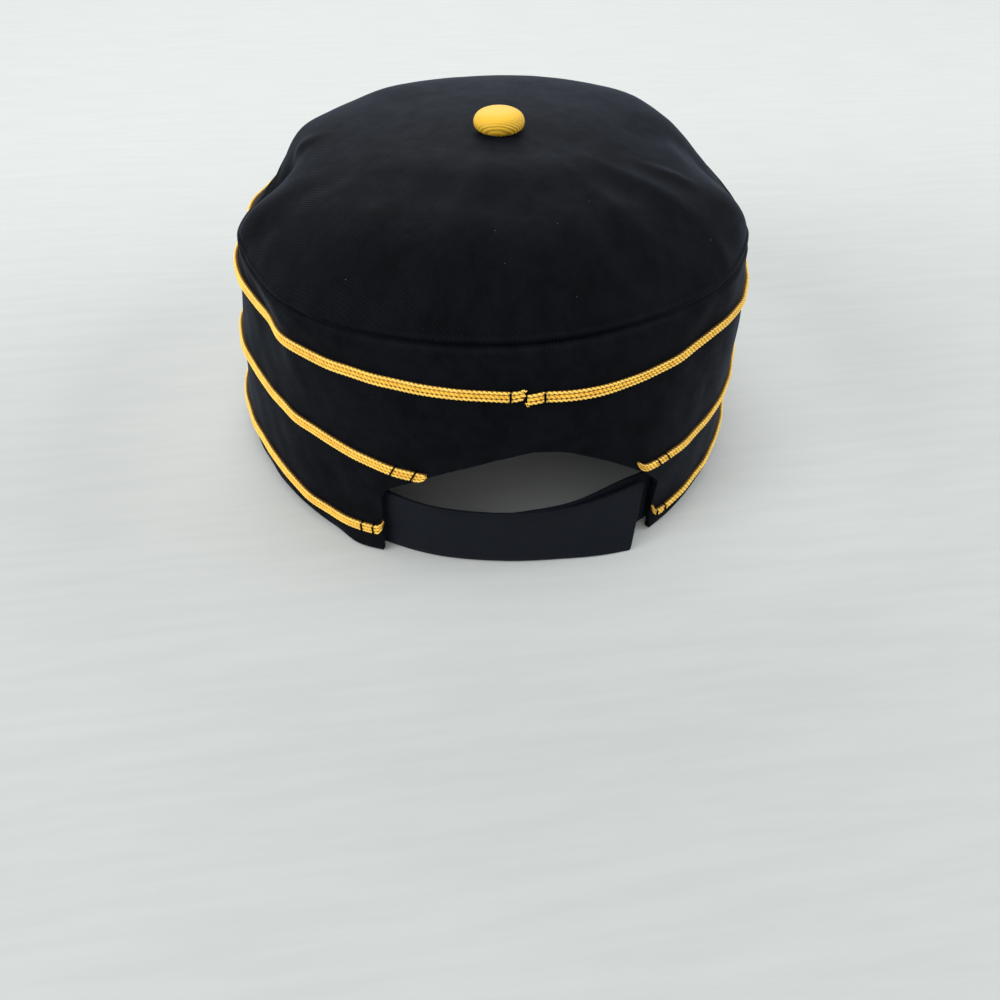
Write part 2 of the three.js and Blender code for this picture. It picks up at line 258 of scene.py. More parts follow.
class Finish:
    # one material and its nodes
    def __init__(self, name, fixed):
        self.material = bpy.data.materials.new(name)
        self.material.use_nodes = True
        self.tree = self.material.node_tree
        self.tree.nodes.clear()
        self.shader = self.tree.nodes.new("ShaderNodeBsdfPrincipled")
        output = self.tree.nodes.new("ShaderNodeOutputMaterial")
        self.tree.links.new(self.shader.outputs[0], output.inputs["Surface"])
        for socket, value in fixed.items():
            self.shader.inputs[socket].default_value = value

    def add(self, kind, settings, inputs, out=0):
        node = self.tree.nodes.new(kind)
        for name, value in settings.items():
            setattr(node, name, value)
        for name, value in inputs.items():
            if isinstance(value, Value):
                self.tree.links.new(value.socket, node.inputs[name])
            else:
                node.inputs[name].default_value = value
        return Value(self, node.outputs[out])

    def coordinates(self, kind, scale=(1, 1, 1), turn=(0, 0, 0), shift=(0, 0, 0)):
        source = self.add("ShaderNodeTexCoord", {}, {}, kind)
        return self.add("ShaderNodeMapping", {}, {"Vector": source, "Scale": scale, "Rotation": turn,
                                                  "Location": shift})

    def parts(self, vector):
        split = self.add("ShaderNodeSeparateXYZ", {}, {0: vector})
        return [Value(self, socket) for socket in split.socket.node.outputs]

    def noise(self, vector, scale, detail=2.0, rough=0.5):
        return self.add("ShaderNodeTexNoise", {}, {"Vector": vector, "Scale": scale, "Detail": detail,
                                                   "Roughness": rough})

    def mix(self, factor, first, second, blend="MIX"):
        def colour(value):
            return value if isinstance(value, Value) else (*value, 1)
        return self.add("ShaderNodeMix", {"data_type": "RGBA", "blend_type": blend},
                        {0: factor, 6: colour(first), 7: colour(second)}, 2)

    def feed(self, socket, value):
        self.tree.links.new(value.socket, self.shader.inputs[socket])

    def bump(self, height, strength, distance):
        self.feed("Normal", self.add("ShaderNodeBump", {}, {"Height": height, "Strength": strength,
                                                             "Distance": distance}))


inMillimetres = (perMetre, perMetre, perMetre)
flatMillimetres = (perMetre, perMetre, 1)

clothLooks = {
    "dark": (0.0004, 0.00045, 0.0006),
    "light": (0.0029, 0.0034, 0.0047),
    "lint": (0.16, 0.17, 0.18),
    "sheen": 0.08,
    "sheenTint": (0.5, 0.65, 1, 1),
    "ribPitch": 0.8,
    "ribTurn": -45,
    "threadPitch": 0.45,
    "ribDepth": 0.00012,
    "roughness": 0.7,
    # two waves that bend the threads: scale, detail and size
    "wander": [(0.9, 3, 2.4), (0.16, 2, 7)],
    "patchScale": 0.03,
    "mottleScale": 0.17,
    "fuzzScale": 1.6,
    "lintScale": 0.16,
    "lintSpeck": (0.012, 0.035),
}


def twillFinish(name, tone, lintShare):
    looks = clothLooks
    finish = Finish(name, {"Sheen Weight": looks["sheen"], "Sheen Roughness": 0.28,
                           "Sheen Tint": looks["sheenTint"], "Specular IOR Level": 0.03})
    flat = finish.coordinates("UV", flatMillimetres)
    turned = finish.coordinates("UV", flatMillimetres, (0, 0, math.radians(looks["ribTurn"])))
    across, along, _ = finish.parts(turned)
    quick, slow = (finish.noise(flat, scale, detail) * size for scale, detail, size in looks["wander"])
    wander = quick + slow
    ribs = (across * (wholeTurn / looks["ribPitch"]) + wander).sine() * 0.5 + 0.5
    threads = (along * (wholeTurn / looks["threadPitch"]) + wander).sine() * 0.5 + 0.5
    patch = finish.noise(flat, looks["patchScale"], 3, 0.55)
    fuzz = finish.noise(finish.coordinates("UV", (perMetre, perMetre * 0.42, 1)), looks["fuzzScale"], 2)
    showing = finish.noise(flat, 0.11, 3, 0.6).between(0.3, 0.7) * 0.7 + 0.3
    mottle = finish.noise(flat, looks["mottleScale"], 4, 0.65).between(0.25, 0.75)
    yarns = (ribs * 0.5 + threads * 0.25) * showing
    weave = (yarns + fuzz * 0.35 + mottle * 0.35 - 0.1).clamped()
    ground = finish.mix(weave, [c * tone for c in looks["dark"]], [c * tone for c in looks["light"]])
    worn = [c * tone * 1.3 for c in looks["light"]]
    faded = finish.mix(patch.between(0.35, 0.75) * 0.35, ground, worn)
    specks = finish.add("ShaderNodeTexVoronoi", {}, {"Vector": flat, "Scale": looks["lintScale"]},
                        "Distance")
    lint = (1 - specks.between(*looks["lintSpeck"])) * lintShare
    finish.feed("Base Color", finish.mix(lint, faded, looks["lint"]))
    finish.feed("Roughness", weave * -0.12 + looks["roughness"])
    finish.bump(yarns + fuzz * 0.5, 0.8, looks["ribDepth"])
    return finish.material


yarnLooks = {
    "bright": (0.92, 0.55, 0.045),
    "deep": (0.8, 0.41, 0.02),
    # pale serves both the fuzz of loose fibres and the painted highlight on the edge yarn
    "pale": (0.97, 0.76, 0.25),
    # the core's colours are painted shade, seen in the holes of the knit
    "coreShadeDark": (0.1, 0.045, 0.008),
    "coreShadeLight": (0.2, 0.09, 0.014),
}


def yarnFinish(name, fuzzAndHighlightShare):
    finish = Finish(name, {"Sheen Weight": 0.2, "Sheen Roughness": 0.4, "Sheen Tint": (1, 0.85, 0.45, 1),
                           "Specular IOR Level": 0.4})
    place = finish.coordinates("Object", inMillimetres)
    blotch = finish.noise(place, 0.35, 3)
    fibres = finish.noise(place, 6.0, 2)
    ground = finish.mix(blotch.between(0.35, 0.7), yarnLooks["bright"], yarnLooks["deep"])
    # the fibre noise paints the fuzz of loose fibres, and the extra share on the edge yarn adds a painted
    # sheen highlight along the braid's edges
    fuzzAndHighlight = fibres.between(0.45, 0.75) * 0.35 + fuzzAndHighlightShare
    finish.feed("Base Color", finish.mix(fuzzAndHighlight, ground, yarnLooks["pale"]))
    finish.feed("Roughness", fibres * 0.2 + 0.45)
    finish.bump(fibres, 0.5, 0.00008)
    return finish.material


# the core's dark gold is painted shade for the holes between the knit's legs
def coreShadeFinish():
    finish = Finish("gold_core_painted_shade", {"Specular IOR Level": 0.2})
    blotch = finish.noise(finish.coordinates("Object", inMillimetres), 1.2, 2)
    finish.feed("Base Color", finish.mix(blotch, yarnLooks["coreShadeDark"], yarnLooks["coreShadeLight"]))
    finish.feed("Roughness", blotch * 0.1 + 0.8)
    finish.bump(blotch, 0.4, 0.0001)
    return finish.material


satinLooks = {
    "light": (0.68, 0.375, 0.012),
    # deep is the painted shade in the rib grooves
    "deep": (0.42, 0.235, 0.012),
    "pale": (1, 0.85, 0.4),
    "ribPitch": 0.85,
}


def satinFinish():
    finish = Finish("gold_satin", {"Sheen Weight": 0.06, "Sheen Roughness": 0.3,
                                   "Sheen Tint": (1, 0.85, 0.5, 1), "Specular IOR Level": 0.2})
    # the pattern is centred under the button
    place = finish.coordinates("Object", inMillimetres,
                               shift=(-crownMiddle[0] / mm, -crownMiddle[1] / mm, -crown["top"]))
    across, along, up = finish.parts(place)
    wander = finish.noise(place, 0.35, 2)
    slope = along * 0.75 - up * 0.62 + across * 0.15 + wander * 0.4
    ribs = (slope * (wholeTurn / satinLooks["ribPitch"])).sine()
    # the ribs show low on the near side, and their grooves are painted darker there as painted shade
    side = 1 - (up - along * 0.22 + across * 0.16).between(2.2, 4.6)
    grooveShade = (ribs * -0.5 + 0.5).power(2) * (side * 0.95)
    fine = finish.noise(finish.coordinates("Object", inMillimetres), 4.0, 2)
    ground = finish.mix(grooveShade, satinLooks["light"], satinLooks["deep"])
    finish.feed("Base Color", finish.mix(fine.between(0.4, 0.7) * 0.08, ground, satinLooks["pale"]))
    finish.feed("Roughness", grooveShade * 0.2 + 0.42)
    finish.bump(ribs * side + fine * 0.4, 0.6, 0.00012)
    return finish.material


webLooks = {
    "dark": (0.0016, 0.0022, 0.0037),
    "light": (0.0058, 0.0075, 0.012),
    "ribPitch": 0.8,
    "rowPitch": 1.1,
}


def webbingFinish():
    finish = Finish("web_weave", {"Sheen Weight": 0.04, "Sheen Roughness": 0.4,
                                  "Sheen Tint": (0.75, 0.85, 1, 1), "Specular IOR Level": 0.1})
    flat = finish.coordinates("UV", flatMillimetres)
    along, up, _ = finish.parts(flat)
    wander = finish.noise(flat, 0.8, 2)
    ribs = (along * (wholeTurn / webLooks["ribPitch"]) + wander * 1.5).sine()
    rows = (up * (wholeTurn / webLooks["rowPitch"]) + ribs * 1.2).sine()
    weave = (ribs * 0.25 + rows * 0.25 + 0.5).clamped()
    patch = finish.noise(flat, 0.06, 3)
    finish.feed("Base Color", finish.mix(weave * 0.5 + patch * 0.5, webLooks["dark"], webLooks["light"]))
    finish.feed("Roughness", weave * 0.12 + 0.62)
    finish.bump(weave, 0.6, 0.00012)
    return finish.material


threadLooks = {"light": (0.0014, 0.0014, 0.0018), "darkShare": 0.6}


def threadFinish():
    finish = Finish("black_thread", {"Specular IOR Level": 0.02})
    twist = finish.noise(finish.coordinates("Object", inMillimetres), 3.0, 2)
    dark = [c * threadLooks["darkShare"] for c in threadLooks["light"]]
    finish.feed("Base Color", finish.mix(twist, dark, threadLooks["light"]))
    finish.feed("Roughness", twist * 0.2 + 0.55)
    finish.bump(twist, 0.5, 0.00008)
    return finish.material


# the band and peak are the same black cloth as the top panel; their higher tone is painted light, for the
# light that falls on the band
topTwill = twillFinish("top_twill", tone=1.15, lintShare=0.4)
bandTwillPaintedLighter = twillFinish("band_twill_painted_lighter", tone=1.6, lintShare=0.15)
yarn = yarnFinish("gold_yarn", fuzzAndHighlightShare=0.0)
fuzzAndHighlightYarn = yarnFinish("gold_edge_yarn_fuzz_and_highlight", fuzzAndHighlightShare=0.22)
yarnCoreShade = coreShadeFinish()
satin = satinFinish()
webbing = webbingFinish()
blackThread = threadFinish()
print("finishes ready")


def keepPiece(name, mesh, materials, nodes=()):
    piece = bpy.data.objects.new(name, mesh)
    bpy.context.scene.collection.objects.link(piece)
    for material in materials:
        mesh.materials.append(material)
    mesh.polygons.foreach_set("use_smooth", [True] * len(mesh.polygons))
    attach(piece, "root")
    if nodes:
        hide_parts(*nodes)
    return piece


def readPoints(mesh):
    flat = np.empty(len(mesh.vertices) * 3)
    mesh.vertices.foreach_get("co", flat)
    return flat.reshape(-1, 3)


def placePoints(mesh, points):
    # from millimetres round the crown's middle to metres in the frame
    mesh.vertices.foreach_set("co", ((points + crownMiddle / mm) * mm).ravel())
    mesh.update()


def sheetMesh(name, columns, rows, place, keepFace=None):
    # a grid from 0 to 1 both ways is laid by place(u, v), which gives points and their flat positions
    shape = bmesh.new()
    bmesh.ops.create_grid(shape, x_segments=columns, y_segments=rows, size=0.5)
    bmesh.ops.translate(shape, vec=(0.5, 0.5, 0), verts=shape.verts)
    if keepFace:
        spare = [face for face in shape.faces if not keepFace(*face.calc_center_median().xy)]
        bmesh.ops.delete(shape, geom=spare, context="FACES")
    mesh = bpy.data.meshes.new(name)
    shape.to_mesh(mesh)
    shape.free()
    flat = readPoints(mesh)
    points, spread = place(flat[:, 0], flat[:, 1])
    corner = np.empty(len(mesh.loops), dtype=np.int32)
    mesh.loops.foreach_get("vertex_index", corner)
    layer = mesh.uv_layers.new(name="flat")
    layer.data.foreach_set("uv", (spread[corner] * mm).ravel())
    placePoints(mesh, points)
    shape = bmesh.new()
    shape.from_mesh(mesh)
    bmesh.ops.remove_doubles(shape, verts=shape.verts, dist=2e-6)
    bmesh.ops.recalc_face_normals(shape, faces=shape.faces)
    return shape, mesh


def faceOutwards(shape, fromPoint):
    # turns an open sheet so that it faces away from a point
    away = sum((face.normal.dot(face.calc_center_median() - fromPoint) for face in shape.faces), 0.0)
    if away < 0:
        bmesh.ops.reverse_faces(shape, faces=shape.faces)


def thicken(piece, thickness, edge, segments=3):
    solid = piece.modifiers.new("thickness", "SOLIDIFY")
    solid.thickness = thickness * mm
    solid.offset = -1
    solid.use_even_offset = True
    rounding = piece.modifiers.new("edge", "BEVEL")
    rounding.width = edge * mm
    rounding.segments = segments
    rounding.limit_method = "ANGLE"
    rounding.angle_limit = math.radians(50)


hollowMiddle = Vector((crownMiddle[0], crownMiddle[1], 0.045))  # the cloth of the crown faces away from it

band = {
    "columns": (112, 480),
    "rows": (16, 48),
    "openingTurns": (-27.1, 31.0),
    # across and height of the arch's edge
    "archEdge": [(-45, 22), (-36, 33), (-17, 46), (-2, 50.5), (23, 43), (47, 27.5), (50, 22)],
    "cornerHeight": 22,
    "girth": 590,
    # the cloth at the seam: millimetres for each row, how many rows are tucked under the top panel,
    # how far the lip stands out, away from the seam, and wide, and how far the edge curls in, and wide
    "seamPitch": 14.5,
    "tuck": 0.05,
    "lip": (0.25, 2.2, 1.6),
    "curl": (1.1, 0.9),
    "edgeRound": 0.6,
}


def archHeight(across):
    curve = alongCurve(band["archEdge"], np.linspace(0, 1, 400))
    return np.interp(across, curve[:, 0], curve[:, 1])


def rowAtHeight(turn, height):
    # the row where the cloth reaches a height, which may depend on the place
    low, high = np.zeros(len(turn)), np.full(len(turn), float(seamRow))
    for _ in range(24):
        middle = (low + high) / 2
        point = clothPoint(turn, middle)
        under = point[:, 2] < height(point)
        low, high = np.where(under, middle, low), np.where(under, high, middle)
    return (low + high) / 2


def openingRow(turn):
    away = np.mod(turn + 180, 360) - 180
    inside = (away > band["openingTurns"][0] - 1e-6) & (away < band["openingTurns"][1] + 1e-6)
    arch = rowAtHeight(turn, lambda point: archHeight(point[:, 0]))
    level = rowAtHeight(turn, lambda point: band["cornerHeight"])
    return np.where(inside, np.maximum(arch, level), level)


def bandPlace(u, v):
    backColumns, frontColumns = band["columns"]
    start, end = band["openingTurns"]
    column = np.rint(u * (backColumns + frontColumns)).astype(int)
    turns = np.interp(np.arange(backColumns + frontColumns + 1),
                      [0, backColumns, backColumns + frontColumns], [start, end, start + 360])
    turn, split = turns[column], openingRow(turns)[column]
    lowRows, highRows = band["rows"]
    line = v * (lowRows + highRows)
    top = seamRow + band["tuck"]
    row = np.where(line <= lowRows, split * line / lowRows,
                   split + (top - split) * (line - lowRows) / highRows)
    seamAway = (seamRow - row) * band["seamPitch"]
    lip, lipAway, lipWidth = band["lip"]
    curl, curlWidth = band["curl"]
    lift = lip * bell(seamAway - lipAway, lipWidth) - curl * bell(np.maximum(seamAway, 0), curlWidth)
    points = clothPlace(turn, row, lift)
    return points, np.stack([turn / 360 * band["girth"], points[:, 2]], axis=-1)


backShare = band["columns"][0] / sum(band["columns"])
lowShare = band["rows"][0] / sum(band["rows"])
shape, mesh = sheetMesh("side_band_cloth", sum(band["columns"]), sum(band["rows"]), bandPlace,
                        lambda u, v: u > backShare or v > lowShare)
faceOutwards(shape, hollowMiddle)
shape.to_mesh(mesh)
shape.free()
sideBand = keepPiece("side_band_cloth", mesh, [bandTwillPaintedLighter], ["side_band"])
thicken(sideBand, crown["thickness"], band["edgeRound"])
print("side band ready")

panel = {
    "columns": 480,
    "rows": 62,
    "evenness": 0.35,  # 1 spreads the rows evenly, and less draws them to the seam
    # the cloth at the seam: millimetres for each row, then how far, away and wide
    "seamPitch": 24.0,
    "overhang": (0.5, 1.1, 1.3),
    "curl": (0.7, 0, 0.55),
    "stitchGroove": (0.22, 2.6, 0.45),
    "stitches": {"pitch": 3.1, "length": 2.3, "thick": 0.17, "lift": -0.14},
    "edgeRound": 0.6,
}


def panelPlace(u, v):
    turn = u * 360
    row = seamRow + (centreRow - seamRow) * (panel["evenness"] * v + (1 - panel["evenness"]) * v ** 2)
    seamAway = (row - seamRow) * panel["seamPitch"]
    overhang, curl, groove = (
        size * bell(seamAway - away, width)
        for size, away, width in (panel["overhang"], panel["curl"], panel["stitchGroove"]))
    points = clothPlace(turn, row, overhang - curl - groove)
    return points, points[:, :2].copy()


shape, mesh = sheetMesh("top_panel_cloth", panel["columns"], panel["rows"], panelPlace)
faceOutwards(shape, hollowMiddle)
shape.to_mesh(mesh)
shape.free()
topPanel = keepPiece("top_panel_cloth", mesh, [topTwill], ["crown_top"])
thicken(topPanel, crown["thickness"], panel["edgeRound"])
print("top panel ready")


def sewRow(shape, line, pitch, length, thick, lift):
    # short rounded stitches along a line, laid flat first
    for i in range(int(line.length / pitch)):
        place = (Matrix.Translation(((i + 0.5) * pitch, 0, lift))
                 @ Matrix.Diagonal((length / 2, thick, thick, 1)))
        bmesh.ops.create_icosphere(shape, subdivisions=1, radius=1, matrix=place)


def stitchPiece(name, lines, stitches):
    whole = bmesh.new()
    for line in lines:
        one = bmesh.new()
        sewRow(one, line, **stitches)
        flat = np.array([vert.co[:] for vert in one.verts])
        for vert, place in zip(one.verts, line.lay(flat)):
            vert.co = place
        part = bpy.data.meshes.new("row")
        one.to_mesh(part)
        one.free()
        whole.from_mesh(part)
        bpy.data.meshes.remove(part)
    bmesh.ops.recalc_face_normals(whole, faces=whole.faces)
    mesh = bpy.data.meshes.new(name)
    whole.to_mesh(mesh)
    whole.free()
    placePoints(mesh, readPoints(mesh))
    keepPiece(name, mesh, [blackThread])


stitchRow = seamRow + panel["stitchGroove"][1] / panel["seamPitch"]
topstitch = ClothLine.onCloth(np.linspace(0, 360, 1440), stitchRow)
stitchPiece("top_panel_stitches", [topstitch], panel["stitches"])
print("stitching ready")

braid = {
    "width": 3.5,
    "gap": 0.35,  # between the cloth and the braid
    "pitch": 1.43,
    # each leg of the knit: along, across, slant, half length, half width, height, material
    "legs": [
        (0.0, 1.17, 22, 0.95, 0.38, 0.74, 2),
        (-0.6, 0.0, 29, 1.0, 0.4, 0.84, 0),
        (0.1, -1.17, 20, 0.95, 0.38, 0.74, 2),
    ],
    "stitchStart": 1.3,
    "endRoom": 0.9,
    "sink": 0.1,  # how far the knit is let down into the gap
    # the strip under the knit: room at its ends, share of the width, top, depth, half its golden middle;
    # outside that middle it is painted dark as shade
    "core": {"room": 0.4, "share": 0.82, "top": 0.58, "depth": 0.85, "gold": 0.4},
    # the crown's row, and the turns where each braid starts and ends
    "runs": {"top": (3, 2.45, 362.2), "middle": (2, 20.6, 340.3), "bottom": (1, 30.5, 333.0)},
    "steps": 1400,
    # at each start and end: the distance from it, how far the braid drifts across there, its width
    "ends": {
        "top": (
            [(0, 0.75, 0.85), (2, 0.25, 0.95), (4, 0, 1)],
            [(0, -1.05, 0.95), (2.5, -0.7, 1), (5, -0.1, 1), (7, 0, 1)],
        ),
        "middle": (
            [(0, 1.2, 0.35), (1.6, 0.35, 0.8), (3.4, 0, 1)],
            [(0, 3, 0.65), (2, 1, 0.85), (4.2, 0, 0.95), (7, 0, 1)],
        ),
        "bottom": (
            [(0, 4.4, 0.6), (1.1, 1.7, 0.8), (2.6, 0.2, 1), (4, 0, 1)],
            [(0, 1.9, 0.6), (1.3, -1.3, 0.85), (3.2, -3, 1), (8, -2.9, 1), (14, -1.6, 1), (22, -0.3, 1),
             (26, 0, 1)],
        ),
    },
    # how wide the braids look as they go round, by turn
    "widths": [(0, 1), (12, 1), (25, 1.08), (64, 1.15), (80, 1.25), (96, 1.15), (112, 1), (265, 0.9),
               (296, 0.78), (338, 0.82), (350, 1), (365, 1)],
    # a loose loop at the start of the top braid and frays at its end, as the legs
    "startLoops": [
        (0.3, 1.75, 50, 0.45, 0.2, 1.25, 2),
        (-0.1, 1.5, -40, 0.4, 0.2, 1.25, 2),
        (0.8, 1.85, 5, 0.5, 0.22, 1.1, 2),
    ],
    "endFrays": [
        (-0.1, -1.7, 55, 0.5, 0.12, 0.8, 2),
        (-0.6, -1.75, 75, 0.45, 0.12, 0.8, 2),
        (0.05, -1.0, 20, 0.5, 0.14, 0.8, 2),
    ],
}


def braidShift(key, line, turns, along):
    # the width and the drift of a braid at distances along its line
    widths = np.array(braid["widths"], float)
    width = np.interp(np.interp(along, line.distance, turns), widths[:, 0], widths[:, 1])
    drift = np.zeros(len(along))
    for away, table in zip((along, line.length - along), braid["ends"][key]):
        curve = alongCurve(table, np.linspace(0, 1, 200))
        width = width * np.interp(away, curve[:, 0], curve[:, 2])
        drift = drift + np.interp(away, curve[:, 0], curve[:, 1])
    return width, drift


def knitLeg(shape, leg, along=0.0):
    # one oval leg of yarn, whose poles point along it
    x, across, slant, half, thick, height, material = leg
    place = (Matrix.Translation((x + along, across, height))
             @ Matrix.Rotation(math.radians(slant), 4, "Z") @ Matrix.Diagonal((half, thick, 0.5, 1))
             @ Matrix.Rotation(math.radians(90), 4, "Y"))
    verts = bmesh.ops.create_uvsphere(shape, u_segments=8, v_segments=6, radius=1, matrix=place)["verts"]
    for face in {face for vert in verts for face in vert.link_faces}:
        face.material_index = material


def braidFlat(name, length, loose):
    # one stitch of the knit, repeated along a flat strip, over a core painted dark gold as the shade in the
    # holes between the legs
    stitch = bmesh.new()
    for leg in braid["legs"]:
        knitLeg(stitch, leg, braid["stitchStart"])
    mesh = bpy.data.meshes.new(name)
    stitch.to_mesh(mesh)
    stitch.free()
    one = bpy.data.objects.new(name + "_stitch", mesh)
    bpy.context.scene.collection.objects.link(one)
    run = length - braid["endRoom"]
    count = round(run / braid["pitch"])
    repeat = one.modifiers.new("repeat", "ARRAY")
    repeat.use_relative_offset = False
    repeat.use_constant_offset = True
    repeat.constant_offset_displace = (run / count, 0, 0)
    repeat.count = count
    graph = bpy.context.evaluated_depsgraph_get()
    shaped = bpy.data.meshes.new_from_object(one.evaluated_get(graph))
    bpy.data.objects.remove(one)
    bpy.data.meshes.remove(mesh)
    whole = bmesh.new()
    whole.from_mesh(shaped)
    bpy.data.meshes.remove(shaped)
    if loose:
        for leg in braid["startLoops"]:
            knitLeg(whole, leg)
        for leg in braid["endFrays"]:
            knitLeg(whole, leg, length)
    core = braid["core"]
    top = bmesh.ops.create_grid(whole, x_segments=count * 2, y_segments=3, size=0.5)["verts"]
    spread = Matrix.Diagonal((length - core["room"], braid["width"] * core["share"], 1, 1))
    bmesh.ops.transform(whole, matrix=spread, verts=top)
    bmesh.ops.translate(whole, vec=(length / 2, 0, core["top"]), verts=top)
    faces = list({face for vert in top for face in vert.link_faces})
    under = bmesh.ops.extrude_face_region(whole, geom=faces)["geom"]
    under = [item for item in under if isinstance(item, bmesh.types.BMVert)]
    bmesh.ops.translate(whole, vec=(0, 0, -core["depth"]), verts=under)
    # the core's golden middle takes the yarn, and the rest takes the painted shade
    for face in {face for vert in top + under for face in vert.link_faces}:
        face.material_index = 0 if abs(face.calc_center_median().y) < core["gold"] else 1
    return whole


def makeBraid(key):
    row, start, end = braid["runs"][key]
    name = "braid_" + key + "_knit"
    turns = np.linspace(start, end, braid["steps"])
    line = ClothLine.onCloth(turns, float(row))
    whole = braidFlat(name, line.length, key == "top")
    bmesh.ops.recalc_face_normals(whole, faces=whole.faces)
    mesh = bpy.data.meshes.new(name)
    whole.to_mesh(mesh)
    whole.free()
    flat = readPoints(mesh)
    width, drift = braidShift(key, line, turns, flat[:, 0])
    flat[:, 1] = flat[:, 1] * width + drift
    flat[:, 2] += braid["gap"] - braid["sink"]
    placePoints(mesh, line.lay(flat))
    keepPiece(name, mesh, [yarn, yarnCoreShade, fuzzAndHighlightYarn], ["braid_" + key])
    return line


braidLines = {key: makeBraid(key) for key in braid["runs"]}
print("braids ready")

# Threads that hold the braids down beside their ends.
tacks = {
    "thick": 0.32,
    "sides": 8,
    "rings": 13,
    "height": 1.7,
    # how deep the ends go in, how far past the braid, and how steeply they turn down
    "sink": 0.1,
    "past": 0.1,
    "lean": 1.2,
    # braid, turn, slant across the braid
    "places": [
        ("top", 5.1, 0), ("top", 358.9, 0),
        ("middle", 27.7, -0.5), ("middle", 23.4, -0.5), ("middle", 334.7, 0.5), ("middle", 331.9, 0.5),
        ("bottom", 35.5, 0), ("bottom", 32.9, 0), ("bottom", 331.4, 0), ("bottom", 328.9, 0),
    ],
}


def makeTacks():
    whole = bmesh.new()
    for key, turn, slant in tacks["places"]:
        _, start, end = braid["runs"][key]
        line = braidLines[key]
        turns = np.linspace(start, end, len(line.points))
        along = np.interp(turn, turns, line.distance)
        one = bmesh.new()
        rings = []
        for i in range(tacks["rings"]):
            share = i / (tacks["rings"] - 1) * 2 - 1
            across = share * (braid["width"] / 2 + tacks["past"])
            height = tacks["height"] * max(0.0, 1 - share ** 8) ** 0.5 - tacks["sink"]
            ring = bmesh.ops.create_circle(one, segments=tacks["sides"], radius=tacks["thick"])["verts"]
            lean = math.atan(-tacks["lean"] * share ** 5)
            place = (Matrix.Translation((along + slant * across, across, height))
                     @ Matrix.Rotation(math.radians(90) - lean, 4, "X"))
            bmesh.ops.transform(one, matrix=place, verts=ring)
            rings.append(ring)
        for first, second in zip(rings, rings[1:]):
            edges = [edge for ring in (first, second) for edge in one.edges
                     if edge.verts[0] in ring and edge.verts[1] in ring]
            bmesh.ops.bridge_loops(one, edges=edges)
        for ring in (rings[0], rings[-1]):
            bmesh.ops.contextual_create(one, geom=ring)
        flat = np.array([vert.co[:] for vert in one.verts])
        width, drift = braidShift(key, line, turns, flat[:, 0])
        flat[:, 1] = flat[:, 1] * width + drift
        for vert, place in zip(one.verts, line.lay(flat)):
            vert.co = place
        part = bpy.data.meshes.new("tack")
        one.to_mesh(part)
        one.free()
        whole.from_mesh(part)
        bpy.data.meshes.remove(part)
    bmesh.ops.recalc_face_normals(whole, faces=whole.faces)
    mesh = bpy.data.meshes.new("braid_tacks")
    whole.to_mesh(mesh)
    whole.free()
    placePoints(mesh, readPoints(mesh))
    keepPiece("braid_tacks", mesh, [blackThread])


makeTacks()
print("tack threads ready")

button = {
    "radius": 8.5,
    # share of the radius and height of the dome's profile, from under the edge to the top
    "profile": [(0.0, 0.1), (0.76, 0.1), (0.87, 0.42), (0.95, 1.0), (0.99, 1.8), (1.0, 2.6),
                (0.985, 3.3), (0.94, 4.1), (0.86, 4.85), (0.74, 5.45), (0.58, 5.9), (0.4, 6.15),
                (0.2, 6.28), (0.0, 6.32)],
    "rings": 40,
    "steps": 96,
    "lift": 0.35,
}
shape = bmesh.new()
profile = alongCurve(button["profile"], np.linspace(0, 1, button["rings"]))
profile[:, 0] = np.clip(profile[:, 0], 0, 1)
points = [shape.verts.new((reach * button["radius"], 0, height)) for reach, height in profile]
edges = [shape.edges.new(pair) for pair in zip(points, points[1:])]
bmesh.ops.spin(shape, geom=points + edges, cent=(0, 0, 0), axis=(0, 0, 1), steps=button["steps"],
               angle=wholeTurn, use_merge=True)
bmesh.ops.remove_doubles(shape, verts=shape.verts, dist=1e-3)
bmesh.ops.recalc_face_normals(shape, faces=shape.faces)
bmesh.ops.translate(shape, vec=(0, 0, crown["top"] + button["lift"]), verts=shape.verts)
mesh = bpy.data.meshes.new("top_button_satin")
shape.to_mesh(mesh)
shape.free()
placePoints(mesh, readPoints(mesh))
keepPiece("top_button_satin", mesh, [satin], ["top_button"])
print("button ready")

strap = {
    "width": 23.6,
    "thickness": 1.4,
    "columns": 140,
    "rows": 26,
    "weaveLength": 125,
    "edgeRound": 0.5,
    "edgeBow": (0.35, 0.05),  # how far both long edges bend in, and over what share of the width
    # turn and reach of the outer face's lower and upper edge
    "run": [(46, 94.8, 46, 92), (32, 94.8, 32, 93), (20, 95.3, 20, 95.3), (6, 95.5, 5, 96),
            (-6, 97, -8, 96), (-14, 99.5, -18, 94.5), (-20, 101.5, -25, 93.5)],
    "tabRun": [(-44, 90, -44, 89.4), (-30, 91.8, -30, 91.4), (-20, 93, -20, 91.4), (-8, 93.8, -8, 93),
               (12, 93, 12, 93)],
    "bottom": 0.25,
    "tabBottom": 1.4,
    # how far the tab's upper edge goes down where the strap covers it, and where that starts and ends
    "tabTuck": 5.0,
    "tuckStart": 0.45,
    "tuckEnd": 0.9,
}


